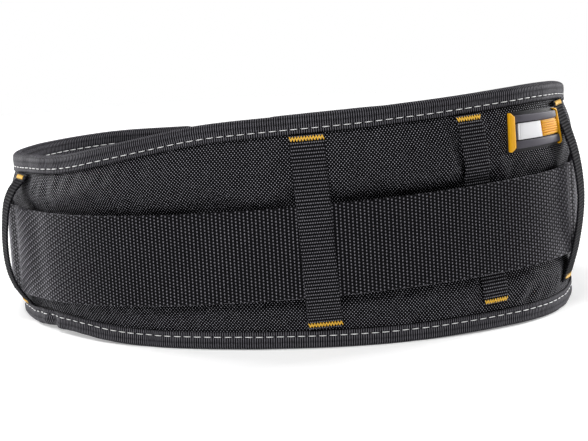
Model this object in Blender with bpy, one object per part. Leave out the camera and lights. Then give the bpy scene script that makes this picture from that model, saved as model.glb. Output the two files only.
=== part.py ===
"""Padded work belt, fastened in a loop and standing on its lower edge.

A foam-filled waist pad with a bound edge carries a wide waist web. The web runs once round
the outside and is closed at the front by one plain buckle. Four upright straps are sewn to
the pad as tool loops, and a small moulded badge is sewn beside the right-hand ones.

Everything is first laid out on the belt itself and then stood on its lower edge:
    along   distance round the web's middle line, 0 at the tall middle of the back,
            growing to the right as the back is looked at
    out     distance outwards from the web's middle surface
    height  distance up from the web's lower edge
"""

import math

import bmesh
import bpy
import numpy as np
from mathutils import Matrix, Vector
from mathutils.geometry import intersect_point_tri_2d

MM = 0.001

# Gap kept between pieces that touch
TOUCH_GAP = 0.3 * MM

# Waist web
WEB_WIDTH = 65 * MM
WEB_THICK = 2.5 * MM
WEB_STEP = 9 * MM

# Waist pad
PAD_LEFT_END = -572 * MM
PAD_RIGHT_END = 521 * MM
PAD_CORNER_RADIUS = 18 * MM
PAD_MIDDLE_OUT = -10.5 * MM
PAD_EDGE_HALF = 3.0 * MM
PAD_SWELL_RUN = 18 * MM
PAD_SWELL_UPPER = 5.0 * MM
PAD_SWELL_WEB = 3.0 * MM
PAD_SWELL_LOWER = 4.2 * MM
PAD_SWELL_INSIDE = 4.0 * MM
PAD_STEP = 12 * MM
LEVEL_ROOM = 3 * MM

# Edge binding, a tape folded over the pad's rim
BINDING_DEPTH = 13 * MM
BINDING_HALF = 4.5 * MM
BINDING_WALL = 1.2 * MM
BINDING_ROUND = 2.2 * MM
RIM_INSET = BINDING_WALL + TOUCH_GAP + 0.1 * MM
BODY_START = BINDING_DEPTH + 0.6 * MM
CORNER_STEPS = 6

# Straps
STRAP_THICK = 1.6 * MM
STRAP_SEAT_GAP = 0.6 * MM
BACK_LOOP_WIDTH = 24 * MM
TOOL_LOOP_WIDTH = 20 * MM
SIDE_LOOP_WIDTH = 20 * MM

# Badge
BADGE_LEFT = 88.7 * MM
BADGE_RIGHT = 145.2 * MM
BADGE_BOTTOM = 82 * MM
BADGE_TOP = 110 * MM
BADGE_SEAT_OUT = -3.6 * MM
BADGE_THICK = 2.2 * MM
BADGE_RECESS = 1.2 * MM
BADGE_BAR_WIDTH = 6.2 * MM
BADGE_BRACKET_WIDTH = 2.0 * MM
BADGE_PANEL_THICK = 0.8 * MM
BADGE_CHAMFER = 2.6 * MM

# Front buckle
BUCKLE_LENGTH = 66 * MM
BUCKLE_WIDTH = 74 * MM
BUCKLE_THICK = 9 * MM
BUCKLE_OUT = 1.4 * MM
BUCKLE_ROUND = 2 * MM
SOCKET_DEPTH = 14 * MM

# How far the cloth of the lower edge is pressed flat where it rests
REST_PRESS = 0.8 * MM

# Web's middle line from above: a smooth closed curve through these places, in millimetres
PLAN_COLUMNS = ("right", "away")
PLAN = (
    (-215.3, 12), (-205.5, -28), (-185, -66), (-151, -100), (-97, -128),
    (-33, -143), (35, -146), (95, -136), (147, -115), (185, -87.4),
    (204.4, -54.5), (212.3, -10), (201.6, 46), (161.5, 91), (95, 116),
    (0, 124), (-95, 117), (-163, 93), (-204, 53),
)
LUMBAR_PLACE = (75 * MM, -141 * MM)

# The soft sides stand a little more upright than square to the web: sideways shift for each
# metre of height, and the height that stays where the plan puts it
SIDE_LEAN = 0.03
LEAN_PIVOT = 45 * MM

# Pad's upper and lower edge round the belt, in millimetres
EDGE_COLUMNS = ("along", "top", "bottom")
EDGE = (
    (-572, 95, -18), (-500, 97, -19), (-390, 97.5, -20.5), (-345, 99, -22.5),
    (-310, 102.5, -25), (-252, 108.5, -26.5), (-213, 114.5, -30.5),
    (-180, 120, -32.5), (-149, 125, -34), (-119, 127, -35.5),
    (-77, 127.8, -37.6), (-37, 128, -39.5), (6, 128.6, -41.3),
    (104, 129.2, -42.5), (125, 128.4, -43), (140, 127.3, -43), (170, 124, -43),
    (215, 115.5, -35), (255, 109, -29), (310, 102.5, -24.5),
    (360, 98.5, -21.5), (521, 95.5, -18),
)
EDGE_SMOOTHING = 14 * MM

# Vertical hollows and swellings of the pad's outer face, in millimetres
RELIEF_COLUMNS = ("along", "half_width", "out", "from_height", "to_height")
RELIEF = (
    (46, 6, -3.2, 62, 116),
    (70, 9, -1.4, 62, 116),
    (-62, 15, -1.3, 66, 118),
    (5, 62, -1.8, -2, 74),
    (-210, 70, -0.8, 0, 70),
    (10, 26, 0.7, 74, 112),
    (-130, 34, 0.6, 76, 114),
)

# Upright straps: place and lean along the belt, width, heights of the two ends, how each one
# runs, and how many degrees its leading edge turns outwards midway
STRAP_COLUMNS = ("name", "along", "lean", "width", "top", "bottom", "run", "twist")
STRAPS = (
    ("side_loop_left", -317, -8, SIDE_LOOP_WIDTH, 87.5, -9.6, "bowed", 7),
    ("back_loop", -64, 6, BACK_LOOP_WIDTH, 114.3, -23, "over_web", 0),
    ("tool_loop", 55, 16, TOOL_LOOP_WIDTH, 115.2, -23, "behind_web", 0),
    ("side_loop_right", 156, 0, SIDE_LOOP_WIDTH, 110.6, -22, "bowed", -4),
)

# How far the middle of a bowed strap stands off between its sewn ends, in millimetres
BOW_COLUMNS = ("height", "out")
BOWS = {
    "side_loop_left": (
        (84, -2.6), (81, 1.4), (77.5, 4.2), (74, 6.3), (68, 8.7), (61, 10), (54, 10.8), (47, 11.4),
        (40, 11.7), (33, 11.6), (26, 11.1), (19, 10.2), (13, 9), (8.5, 7.6), (5, 6.2), (2.5, 4.8),
        (0, 3), (-3, 0.6), (-6, -2),
    ),
    "side_loop_right": (
        (105, -4), (100, -2.2), (95, -0.3), (86, 2.7), (77, 5.5), (68, 7.4), (59, 8.7), (50, 9.4),
        (41, 9.6), (32, 9), (23, 7.8), (14, 6.1), (5, 4), (0, 2.7), (-4, 1.4), (-9, -0.4),
        (-13, -1.6), (-17, -3.4),
    ),
}


# Laying out the belt

def closed_curve(places, steps):
    """Points of the smooth closed cubic through the given places."""
    knots = np.array(places, float)
    count = len(knots)
    chord = np.linalg.norm(np.roll(knots, -1, axis=0) - knots, axis=1)
    system = np.zeros((count, count))
    slopes = np.zeros((count, 2))
    for i in range(count):
        before = chord[i - 1]
        after = chord[i]
        following = (i + 1) % count
        system[i, i - 1] = before
        system[i, i] = 2 * (before + after)
        system[i, following] = after
        slopes[i] = 6 * ((knots[following] - knots[i]) / after - (knots[i] - knots[i - 1]) / before)
    bend = np.linalg.solve(system, slopes)
    pieces = []
    for i in range(count):
        following = (i + 1) % count
        span = chord[i]
        u = np.linspace(0, span, steps, endpoint=False)[:, None]
        pieces.append(
            bend[i] * (span - u) ** 3 / (6 * span)
            + bend[following] * u ** 3 / (6 * span)
            + (knots[i] / span - bend[i] * span / 6) * (span - u)
            + (knots[following] / span - bend[following] * span / 6) * u
        )
    return np.vstack(pieces)


class WaistLine:
    """The web's middle line, read by distance along it."""

    def __init__(self):
        line = closed_curve(PLAN, 48) * MM
        start = np.argmin(np.linalg.norm(line - np.array(LUMBAR_PLACE), axis=1))
        line = np.roll(line, -start, axis=0)
        ahead = np.roll(line, -1, axis=0)
        behind = np.roll(line, 1, axis=0)
        way = (ahead - behind) / np.linalg.norm(ahead - behind, axis=1)[:, None]
        self.length = float(np.linalg.norm(ahead - line, axis=1).sum())
        self.along = np.concatenate(([0.0], np.cumsum(np.linalg.norm(ahead - line, axis=1))))
        self.line = np.vstack((line, line[:1]))
        self.way = np.vstack((way, way[:1]))

    def place(self, along, out, height):
        """A point of the belt, before it is stood on its edge."""
        along = along % self.length
        x = np.interp(along, self.along, self.line[:, 0])
        y = np.interp(along, self.along, self.line[:, 1])
        way = self.heading(along)
        x += SIDE_LEAN * (height - LEAN_PIVOT)
        return Vector((x + out * way.y, y - out * way.x, height))

    def heading(self, along):
        """Which way the line runs at a place."""
        along = along % self.length
        way_x = np.interp(along, self.along, self.way[:, 0])
        way_y = np.interp(along, self.along, self.way[:, 1])
        return Vector((way_x, way_y, 0.0)).normalized()


WAIST = WaistLine()


def smooth_step(value, low, high):
    """0 below low, 1 above high, and a soft S between them."""
    u = min(max((value - low) / (high - low), 0.0), 1.0)
    return u * u * (3 - 2 * u)


def edge_height(along, column):
    """Height of the pad's edge, smoothed over a short run."""
    table = np.array(EDGE) * MM
    reach = np.linspace(-EDGE_SMOOTHING, EDGE_SMOOTHING, 7)
    heights = np.interp(along + reach, table[:, 0], table[:, EDGE_COLUMNS.index(column)])
    return float(heights.mean())


def end_overrun(along, inset):
    """How far a place lies past the start of the pad's rounded corners."""
    left = (PAD_LEFT_END + PAD_CORNER_RADIUS) - along
    right = along - (PAD_RIGHT_END - PAD_CORNER_RADIUS)
    return min(max(left, right, 0.0), PAD_CORNER_RADIUS - inset)


def rim_height(along, column, inset):
    """Height of the pad's outline, drawn in by inset, with its rounded corners."""
    inwards = -1 if column == "top" else 1
    radius = PAD_CORNER_RADIUS - inset
    fall = radius - math.sqrt(max(radius ** 2 - end_overrun(along, inset) ** 2, 0.0))
    return edge_height(along, column) + inwards * (inset + fall)


def distance_inside(along, height):
    """Distance from a place on the pad to the pad's outline."""
    top = edge_height(along, "top")
    bottom = edge_height(along, "bottom")
    half_length = (PAD_RIGHT_END - PAD_LEFT_END) / 2
    middle = (PAD_RIGHT_END + PAD_LEFT_END) / 2
    over_end = abs(along - middle) - (half_length - PAD_CORNER_RADIUS)
    over_edge = abs(height - (top + bottom) / 2) - ((top - bottom) / 2 - PAD_CORNER_RADIUS)
    corner = math.hypot(max(over_end, 0.0), max(over_edge, 0.0))
    return PAD_CORNER_RADIUS - corner - min(max(over_end, over_edge), 0.0)


def relief(along, height):
    """Sum of the pad's vertical hollows and swellings at a place."""
    total = 0.0
    for row in RELIEF:
        entry = dict(zip(RELIEF_COLUMNS, row))
        sideways = (along - entry["along"] * MM) / (entry["half_width"] * MM)
        low = smooth_step(height, (entry["from_height"] - 6) * MM, (entry["from_height"] + 6) * MM)
        high = 1 - smooth_step(height, (entry["to_height"] - 6) * MM, (entry["to_height"] + 6) * MM)
        total += entry["out"] * MM * math.exp(-sideways ** 2) * low * high
    return total


def on_badge_seat(along, height):
    """1 where the badge is sewn down, fading to 0 around it."""
    reach = 5 * MM
    sideways = smooth_step(along, BADGE_LEFT - 2 * reach, BADGE_LEFT - MM)
    sideways *= 1 - smooth_step(along, BADGE_RIGHT + MM, BADGE_RIGHT + 2 * reach)
    upright = smooth_step(height, BADGE_BOTTOM - 2 * reach, BADGE_BOTTOM - MM)
    upright *= 1 - smooth_step(height, BADGE_TOP + MM, BADGE_TOP + reach)
    return sideways * upright


def pad_outer(along, height):
    """Outer face of the pad: pinched at the rim, swelling above and below the web."""
    rise = smooth_step(distance_inside(along, height), BODY_START, BODY_START + PAD_SWELL_RUN)
    above = smooth_step(height, WEB_WIDTH, WEB_WIDTH + 20 * MM)
    below = 1 - smooth_step(height, -12 * MM, 0.0)
    swell = PAD_SWELL_WEB + (PAD_SWELL_UPPER - PAD_SWELL_WEB) * above
    swell += (PAD_SWELL_LOWER - PAD_SWELL_WEB) * below
    out = PAD_MIDDLE_OUT + PAD_EDGE_HALF + rise * (swell + relief(along, height))
    seat = on_badge_seat(along, height)
    return out + seat * (min(BADGE_SEAT_OUT, out) - out)


def pad_inner(along, height):
    """Inner face of the pad: pinched at the rim and evenly full inside it."""
    rise = smooth_step(distance_inside(along, height), BODY_START, BODY_START + PAD_SWELL_RUN)
    return PAD_MIDDLE_OUT - PAD_EDGE_HALF - rise * PAD_SWELL_INSIDE


# Making meshes

def material(name, colour, roughness, metallic=0.0):
    """A plain material of one finish."""
    finish = bpy.data.materials.new(name)
    finish.use_nodes = True
    shader = finish.node_tree.nodes["Principled BSDF"]
    shader.inputs["Base Color"].default_value = (*colour, 1.0)
    shader.inputs["Roughness"].default_value = roughness
    shader.inputs["Metallic"].default_value = metallic
    return finish


def loft(name, rings, closed, finish):
    """One closed body through a row of rings; closed joins the last ring to the first."""
    shape = bmesh.new()
    rows = [[shape.verts.new(point) for point in ring] for ring in rings]
    following = rows[1:] + rows[:1] if closed else rows[1:]
    for near, far in zip(rows, following):
        for j in range(len(near)):
            k = (j + 1) % len(near)
            shape.faces.new((near[j], near[k], far[k], far[j]))
    if not closed:
        shape.faces.new(list(reversed(rows[0])))
        shape.faces.new(rows[-1])
    bmesh.ops.recalc_face_normals(shape, faces=shape.faces[:])
    mesh = bpy.data.meshes.new(name)
    shape.to_mesh(mesh)
    shape.free()
    mesh.materials.append(finish)
    piece = bpy.data.objects.new(name, mesh)
    bpy.context.collection.objects.link(piece)
    return piece


def strip(name, stations, outline, finish):
    """A moulded strip that follows the waist; outline(along) gives its (out, height) ring."""
    rings = [[WAIST.place(s, out, height) for out, height in outline(s)] for s in stations]
    return loft(name, rings, False, finish)


# Waist pad and its binding

def pad_stations():
    """Places along the pad where it is cut, closer together over its vertical folds."""
    left = PAD_LEFT_END + PAD_CORNER_RADIUS
    right = PAD_RIGHT_END - PAD_CORNER_RADIUS
    places = list(np.linspace(left, right, round((right - left) / PAD_STEP) + 1))
    fold = (RELIEF[0][0] - 4) * MM
    places += [fold, fold + 7 * MM]
    places = sorted(places)
    kept = [places[0]]
    for place in places[1:]:
        if place - kept[-1] > 3 * MM:
            kept.append(place)
    return kept


def pad_ring(along):
    """Ring of one station of the pad: up the outer face and down the inner one."""
    top = rim_height(along, "top", RIM_INSET)
    bottom = rim_height(along, "bottom", RIM_INSET)
    under_top = top + RIM_INSET - BODY_START
    over_bottom = bottom - RIM_INSET + BODY_START
    web_low = max(MM, over_bottom + LEVEL_ROOM)
    web_top = min(WEB_WIDTH + MM, under_top - LEVEL_ROOM)
    outer = [bottom, over_bottom]
    outer += [over_bottom + (web_low - over_bottom) * part for part in (0.33, 0.67, 1.0)]
    outer += [web_low + (web_top - web_low) * part for part in (0.25, 0.5, 0.75)]
    outer += [web_top + (under_top - web_top) * part for part in (0.0, 0.2, 0.45, 0.75, 1.0)]
    outer += [top]
    middle = (under_top + over_bottom) / 2
    inner = [top, under_top, under_top - PAD_SWELL_RUN, middle]
    inner += [over_bottom + PAD_SWELL_RUN, over_bottom, bottom]
    ring = [WAIST.place(along, pad_outer(along, height), height) for height in outer]
    ring += [WAIST.place(along, pad_inner(along, height), height) for height in inner]
    return ring


def make_pad(finish):
    """The foam-filled waist pad."""
    rounding = (0.35, 0.65, 0.88)
    reach = PAD_CORNER_RADIUS - RIM_INSET
    left = PAD_LEFT_END + PAD_CORNER_RADIUS
    right = PAD_RIGHT_END - PAD_CORNER_RADIUS
    stations = [left - reach] + [left - reach * part for part in reversed(rounding)]
    stations += pad_stations()
    stations += [right + reach * part for part in rounding] + [right + reach]
    return loft("pad", [pad_ring(s) for s in stations], False, finish)


def pad_outline():
    """The pad's outline as (along, height) places, once round: top, right end, bottom, left end."""
    stations = pad_stations()
    corners = [math.pi / 2 * (i + 1) / CORNER_STEPS for i in range(CORNER_STEPS)]
    left = stations[0]
    right = stations[-1]
    radius = PAD_CORNER_RADIUS
    outline = [(s, edge_height(s, "top")) for s in stations]
    for angle in corners:
        fall = radius * (1 - math.cos(angle))
        outline.append((right + radius * math.sin(angle), edge_height(right, "top") - fall))
    for angle in reversed([0.0] + corners):
        fall = radius * (1 - math.cos(angle))
        outline.append((right + radius * math.sin(angle), edge_height(right, "bottom") + fall))
    outline.extend((s, edge_height(s, "bottom")) for s in reversed(stations[:-1]))
    for angle in corners:
        fall = radius * (1 - math.cos(angle))
        outline.append((left - radius * math.sin(angle), edge_height(left, "bottom") + fall))
    for angle in reversed(corners):
        fall = radius * (1 - math.cos(angle))
        outline.append((left - radius * math.sin(angle), edge_height(left, "top") - fall))
    return outline


def make_binding(finish):
    """The tape folded over the whole edge of the pad, as one U-shaped closed band."""
    half = BINDING_HALF
    inside = BINDING_HALF - BINDING_WALL
    section = [
        (BINDING_DEPTH, half), (BINDING_ROUND, half), (0.0, half - BINDING_ROUND),
        (0.0, BINDING_ROUND - half), (BINDING_ROUND, -half), (BINDING_DEPTH, -half),
        (BINDING_DEPTH, -inside), (BINDING_WALL, -inside),
        (BINDING_WALL, inside), (BINDING_DEPTH, inside),
    ]
    outline = [Vector(place) for place in pad_outline()]
    rings = []
    for i, place in enumerate(outline):
        way = (outline[(i + 1) % len(outline)] - outline[i - 1]).normalized()
        inwards = Vector((way.y, -way.x))
        ring = []
        for depth, out in section:
            spot = place + inwards * depth
            ring.append(WAIST.place(spot.x, PAD_MIDDLE_OUT + out, spot.y))
        rings.append(ring)
    return loft("edge_binding", rings, True, finish)


# Waist web and its buckle

def buckle_middle():
    """The buckle sits over the middle of the gap between the pad's two ends."""
    return (PAD_RIGHT_END + PAD_LEFT_END + WAIST.length) / 2


def web_section(spare=0.0):
    """Ring of the web, or of the room it needs when spare is given."""
    half = WEB_THICK / 2 + spare
    low = -spare
    high = WEB_WIDTH + spare
    return [(half, low), (half, high), (-half, high), (-half, low)]


def web_ends():
    """The web goes from one socket of the buckle once round to the other."""
    middle = buckle_middle()
    reach = BUCKLE_LENGTH / 2 - SOCKET_DEPTH + TOUCH_GAP
    return middle - WAIST.length + reach, middle - reach


def make_web(finish):
    """The wide waist web."""
    start, end = web_ends()
    stations = np.linspace(start, end, round((end - start) / WEB_STEP) + 1)
    return strip("waist_web", stations, lambda s: web_section(), finish)


def make_buckle(finish):
    """One plain closed buckle, with a socket for each end of the web."""
    middle = buckle_middle()
    low = (WEB_WIDTH - BUCKLE_WIDTH) / 2
    high = (WEB_WIDTH + BUCKLE_WIDTH) / 2
    inner = BUCKLE_OUT - BUCKLE_THICK / 2
    outer = BUCKLE_OUT + BUCKLE_THICK / 2

    def outline(along):
        """Rectangle with its edges rounded, drawn in at the buckle's two ends."""
        to_end = BUCKLE_LENGTH / 2 - abs(along - middle)
        drawn = max(BUCKLE_ROUND - to_end, 0.0)
        a = inner + drawn
        b = outer - drawn
        c = low + drawn
        d = high - drawn
        cut = BUCKLE_ROUND
        return [
            (b - cut, c), (b, c + cut), (b, d - cut), (b - cut, d),
            (a + cut, d), (a, d - cut), (a, c + cut), (a + cut, c),
        ]

    half = BUCKLE_LENGTH / 2
    offsets = [-half, -half + BUCKLE_ROUND, -half / 2, 0.0, half / 2, half - BUCKLE_ROUND, half]
    buckle = strip("front_buckle", [middle + offset for offset in offsets], outline, finish)
    for side in (-1, 1):
        mouth = middle + side * (half + 4 * MM)
        floor = middle + side * (half - SOCKET_DEPTH)
        stations = sorted(np.linspace(mouth, floor, 5))
        cutter = strip("socket_cutter", stations, lambda s: web_section(TOUCH_GAP), finish)
        cutter.hide_render = True
        cutter.display_type = "WIRE"
        cut = buckle.modifiers.new("socket", "BOOLEAN")
        cut.operation = "DIFFERENCE"
        cut.object = cutter
    return buckle


# Upright straps

def strap_seat(along, height):
    """Middle of a strap that lies on the pad."""
    return pad_outer(along, height) + STRAP_SEAT_GAP + STRAP_THICK / 2


def strap_along(row, height):
    """A leaning strap's place along the belt at a height."""
    down = (row["top"] * MM - height) / (row["top"] - row["bottom"])
    return row["along"] * MM + row["lean"] * down


def strap_route(row):
    """A strap's middle line as (out, height) places, from its top end to its lower end."""
    top = row["top"] * MM
    bottom = row["bottom"] * MM
    sewn = 5 * MM
    half_width = row["width"] / 2

    def seat(height):
        along = strap_along(row, height)
        return max(strap_seat(along + side * half_width, height) for side in (-1, 0, 1))

    if row["run"] == "behind_web":
        heights = np.linspace(top, bottom, 20)
        return [(seat(height), height) for height in heights]
    if row["run"] == "over_web":
        over = WEB_THICK / 2 + TOUCH_GAP + STRAP_THICK / 2
        heights = [top, top - sewn, 104 * MM, 94 * MM, 84 * MM, 75 * MM, WEB_WIDTH + 2 * MM]
        heights += [WEB_WIDTH * part for part in (0.97, 0.75, 0.5, 0.25, 0.03)]
        heights += [-2 * MM, -8 * MM, -14 * MM, bottom]
        route = []
        for height in heights:
            up = 1 - smooth_step(height, WEB_WIDTH + MM, WEB_WIDTH + 24 * MM)
            down = smooth_step(height, -15 * MM, -MM)
            share = up * down
            route.append((seat(height) * (1 - share) + over * share, height))
        return route
    route = [(seat(top), top)]
    for height, out in BOWS[row["name"]]:
        route.append((max(out * MM, seat(height * MM)), height * MM))
    route.append((seat(bottom), bottom))
    return route


def make_strap(row, finish):
    """A flat strap of even thickness along its route."""
    route = [Vector(place) for place in strap_route(row)]
    rings = []
    for i, place in enumerate(route):
        along = strap_along(row, place.y)
        way = (route[min(i + 1, len(route) - 1)] - route[max(i - 1, 0)]).normalized()
        face = Vector((-way.y, way.x)) * (STRAP_THICK / 2)
        midway = math.sin(math.pi * i / (len(route) - 1))
        turn = Matrix.Rotation(-math.radians(row["twist"]) * midway, 3, "Z")
        across = turn @ WAIST.heading(along) * (row["width"] / 2)
        front = WAIST.place(along, place.x + face.x, place.y + face.y)
        back = WAIST.place(along, place.x - face.x, place.y - face.y)
        rings.append([front - across, front + across, back + across, back - across])
    return loft(row["name"], rings, False, finish)


# Badge

def badge_stations(start, end):
    """Places along a piece of the badge, about 6 mm apart."""
    return np.linspace(start, end, max(round((end - start) / (6 * MM)), 1) + 1)


def block(low_out, high_out, low, high):
    """Ring of a plain rectangle."""
    return [(high_out, low), (high_out, high), (low_out, high), (low_out, low)]


def make_badge(grey, gold, pale):
    """Moulded badge: a recessed plate with a bar, a bracket and two plain panels."""
    back = BADGE_SEAT_OUT + TOUCH_GAP
    front = back + BADGE_THICK
    floor = front - BADGE_RECESS
    plate_left = BADGE_LEFT + BADGE_BAR_WIDTH + TOUCH_GAP
    plate_right = BADGE_RIGHT - BADGE_BRACKET_WIDTH - TOUCH_GAP
    recess_low = BADGE_BOTTOM + 7.6 * MM
    recess_high = BADGE_TOP - 6.4 * MM

    def plate_ring(along):
        return [
            (front, BADGE_BOTTOM), (front, recess_low), (floor, recess_low),
            (floor, recess_high), (front, recess_high), (front, BADGE_TOP),
            (back, BADGE_TOP), (back, BADGE_BOTTOM),
        ]

    strip("badge_plate", badge_stations(plate_left, plate_right), plate_ring, grey)

    bar_right = BADGE_LEFT + BADGE_BAR_WIDTH
    bar_front = front + 0.9 * MM

    def bar_ring(along):
        cut = max(along - (bar_right - BADGE_CHAMFER), 0.0)
        return block(back, bar_front, BADGE_BOTTOM + cut, BADGE_TOP + MM - cut)

    bar_places = [BADGE_LEFT, bar_right - BADGE_CHAMFER, bar_right]
    strip("badge_end_bar", bar_places, bar_ring, gold)

    bracket_left = BADGE_RIGHT - BADGE_BRACKET_WIDTH

    def bracket_ring(along):
        cut = along - bracket_left
        return block(back, front + 0.5 * MM, BADGE_BOTTOM + cut, BADGE_TOP - cut)

    strip("badge_end_bracket", [bracket_left, BADGE_RIGHT], bracket_ring, gold)

    panel_back = floor + TOUCH_GAP
    panel_front = panel_back + BADGE_PANEL_THICK
    panel_low = recess_low + 0.4 * MM
    panel_high = recess_high - 0.4 * MM
    panel_left = plate_left + 3 * MM
    panel_right = plate_right - 0.6 * MM
    split = (panel_left + panel_right) / 2
    panels = (
        ("badge_pale_panel", panel_left, split - TOUCH_GAP / 2, pale),
        ("badge_gold_panel", split + TOUCH_GAP / 2, panel_right, gold),
    )
    for name, start, end, finish in panels:
        strip(
            name, badge_stations(start, end),
            lambda s: block(panel_back, panel_front, panel_low, panel_high), finish
        )


# Standing the belt on its lower edge

def support_plane():
    """The three places of the pad's lower edge that the belt stands on, with its weight above."""
    stations = pad_stations()
    lowest = [WAIST.place(s, PAD_MIDDLE_OUT, edge_height(s, "bottom")) for s in stations]
    weight = Vector((0.0, 0.0, 0.0))
    total = 0.0
    for place, s in zip(lowest, stations):
        share = edge_height(s, "top") - edge_height(s, "bottom")
        weight += place * share
        total += share
    weight /= total
    hull = bmesh.new()
    corners = [hull.verts.new(place) for place in lowest]
    bmesh.ops.convex_hull(hull, input=corners)
    hull.normal_update()
    for face in hull.faces:
        three = [corner.co.copy() for corner in face.verts]
        facing_down = face.normal.z < -0.5
        if facing_down and intersect_point_tri_2d(weight.xy, *[corner.xy for corner in three]):
            normal = face.normal.copy()
            hull.free()
            return normal, three[0]
    raise RuntimeError("the belt's lower edge has no three places to stand on")


def stand_up(pieces):
    """Turn the belt onto its lower edge, press the edge flat there, and centre it on the origin."""
    normal, place = support_plane()
    turn = normal.rotation_difference(Vector((0.0, 0.0, -1.0))).to_matrix().to_4x4()
    floor = (turn @ place).z + REST_PRESS
    back = turn.inverted()
    binding = next(piece for piece in pieces if piece.name == "edge_binding")
    for vertex in binding.data.vertices:
        stood = turn @ vertex.co
        if stood.z < floor:
            stood.z = floor
            vertex.co = back @ stood
    corners = []
    for piece in pieces:
        corners += [turn @ vertex.co for vertex in piece.data.vertices]
    low = [min(corner[axis] for corner in corners) for axis in range(3)]
    high = [max(corner[axis] for corner in corners) for axis in range(3)]
    shift = Matrix.Translation((-(low[0] + high[0]) / 2, -(low[1] + high[1]) / 2, -low[2]))
    stand = bpy.data.objects.new("standing_pose", None)
    bpy.context.collection.objects.link(stand)
    stand.matrix_world = shift @ turn
    for piece in bpy.data.objects:
        if piece.type == "MESH":
            piece.parent = stand
    bpy.context.view_layer.update()


def main():
    for old in list(bpy.data.objects):
        bpy.data.objects.remove(old, do_unlink=True)

    pad_cloth = material("pad_cloth", (0.020, 0.019, 0.022), 0.75)
    binding_tape = material("binding_tape", (0.024, 0.023, 0.026), 0.8)
    webbing = material("webbing", (0.022, 0.021, 0.024), 0.7)
    strap_webbing = material("strap_webbing", (0.018, 0.017, 0.019), 0.7)
    buckle_plastic = material("buckle_plastic", (0.015, 0.015, 0.016), 0.4)
    badge_grey = material("badge_grey", (0.09, 0.09, 0.10), 0.5)
    badge_gold = material("badge_gold", (0.75, 0.42, 0.03), 0.45)
    badge_pale = material("badge_pale", (0.80, 0.80, 0.82), 0.45)

    make_pad(pad_cloth)
    make_binding(binding_tape)
    make_web(webbing)
    make_buckle(buckle_plastic)
    for row in STRAPS:
        make_strap(dict(zip(STRAP_COLUMNS, row)), strap_webbing)
    make_badge(badge_grey, badge_gold, badge_pale)

    solids = [piece for piece in bpy.data.objects if piece.type == "MESH" and not piece.hide_render]
    stand_up(solids)


main()
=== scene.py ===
"""Padded work belt, dressed over its plain solids.

The sections follow the belt as it is sewn together: the pad, the tape round its edge and its
lockstitch, the wide web, the buckle, the upright loops with their bartacks, and the badge.
"""

import math

import bmesh
import bpy
import numpy as np
from mathutils import Matrix, Vector


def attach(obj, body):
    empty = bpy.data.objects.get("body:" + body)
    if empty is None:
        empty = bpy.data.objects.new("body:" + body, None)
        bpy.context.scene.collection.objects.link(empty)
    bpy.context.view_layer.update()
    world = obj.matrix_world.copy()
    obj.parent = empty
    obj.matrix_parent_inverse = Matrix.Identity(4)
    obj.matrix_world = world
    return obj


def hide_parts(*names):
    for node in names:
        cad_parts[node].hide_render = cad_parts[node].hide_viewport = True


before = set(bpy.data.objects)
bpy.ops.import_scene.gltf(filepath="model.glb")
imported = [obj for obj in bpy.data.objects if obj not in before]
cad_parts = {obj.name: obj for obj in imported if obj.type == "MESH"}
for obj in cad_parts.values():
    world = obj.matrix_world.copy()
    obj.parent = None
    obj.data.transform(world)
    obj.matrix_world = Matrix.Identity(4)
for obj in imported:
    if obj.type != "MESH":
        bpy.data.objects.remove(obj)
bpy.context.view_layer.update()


# Camera
# It looks at the tall back of the belt from slightly above, square to the web and a little
# rolled, as the photograph was taken. The belt itself stands tipped on its lower edge.

STAND_UP = Vector((0.0451954, -0.0502383, 0.9977142))
STAND_SHIFT = Vector((0.0031900, 0.0082178, 0.0306730))
stand_turn = STAND_UP.rotation_difference(Vector((0, 0, 1))).to_matrix().to_4x4()
stand = Matrix.Translation(STAND_SHIFT) @ stand_turn

VIEW_DISTANCE = 1.7431
VIEW_LENS = 140.8
VIEW_AIM_HEIGHT = 0.030
VIEW_DOWN = math.radians(10.0)
VIEW_ROLL = math.radians(5.16)

camera = bpy.data.objects.new("camera", bpy.data.cameras.new("camera"))
bpy.context.scene.collection.objects.link(camera)
camera.data.sensor_width = 36.0
camera.data.lens = VIEW_LENS
view_back = Vector((0.0, -math.cos(VIEW_DOWN), math.sin(VIEW_DOWN)))
camera.matrix_world = (
    stand
    @ Matrix.Translation(Vector((0.0, 0.0, VIEW_AIM_HEIGHT)) + view_back * VIEW_DISTANCE)
    @ Matrix.Rotation(math.pi / 2 - VIEW_DOWN, 4, "X")
    @ Matrix.Rotation(-VIEW_ROLL, 4, "Z")
)
bpy.context.scene.camera = camera


# Floor and light
# A white sweep under a bright even tent. A long soft box on each side brings out the sheen
# where the belt turns away, and one above lights the tall back.

TENT_LIGHT = 0.12
TENT_SEEN = 1.0
FLOOR_RADIUS = 0.92
FLOOR_GLOW = 0.27
WHITE = (1.0, 1.0, 1.0, 1.0)
LIT_PLACE = Vector((0.0, 0.0, 0.08))
SOFT_BOXES = (
    # name, place, width, height, watts
    ("soft_box_left", (-1.10, 0.62, 0.40), 0.5, 0.8, 18.0),
    ("soft_box_right", (1.15, 0.50, 0.40), 0.5, 0.8, 20.0),
    ("soft_box_top", (-0.30, -0.75, 1.5), 1.0, 0.6, 18.0),
)


def set_inputs(tree, node, inputs):
    """Sets a node's inputs to plain values, or joins them to what other nodes put out."""
    for key, value in inputs.items():
        if isinstance(value, bpy.types.NodeSocket):
            tree.links.new(value, node.inputs[key])
        else:
            node.inputs[key].default_value = value


def add_node(tree, kind, inputs, **settings):
    """A new node with its settings and its inputs."""
    node = tree.nodes.new("ShaderNode" + kind)
    for name, value in settings.items():
        setattr(node, name, value)
    set_inputs(tree, node, inputs)
    return node


def ranged(tree, share, low, high):
    """A value that goes from low to high with the share."""
    return add_node(tree, "MapRange", {"Value": share, "To Min": low, "To Max": high}).outputs[0]


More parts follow.
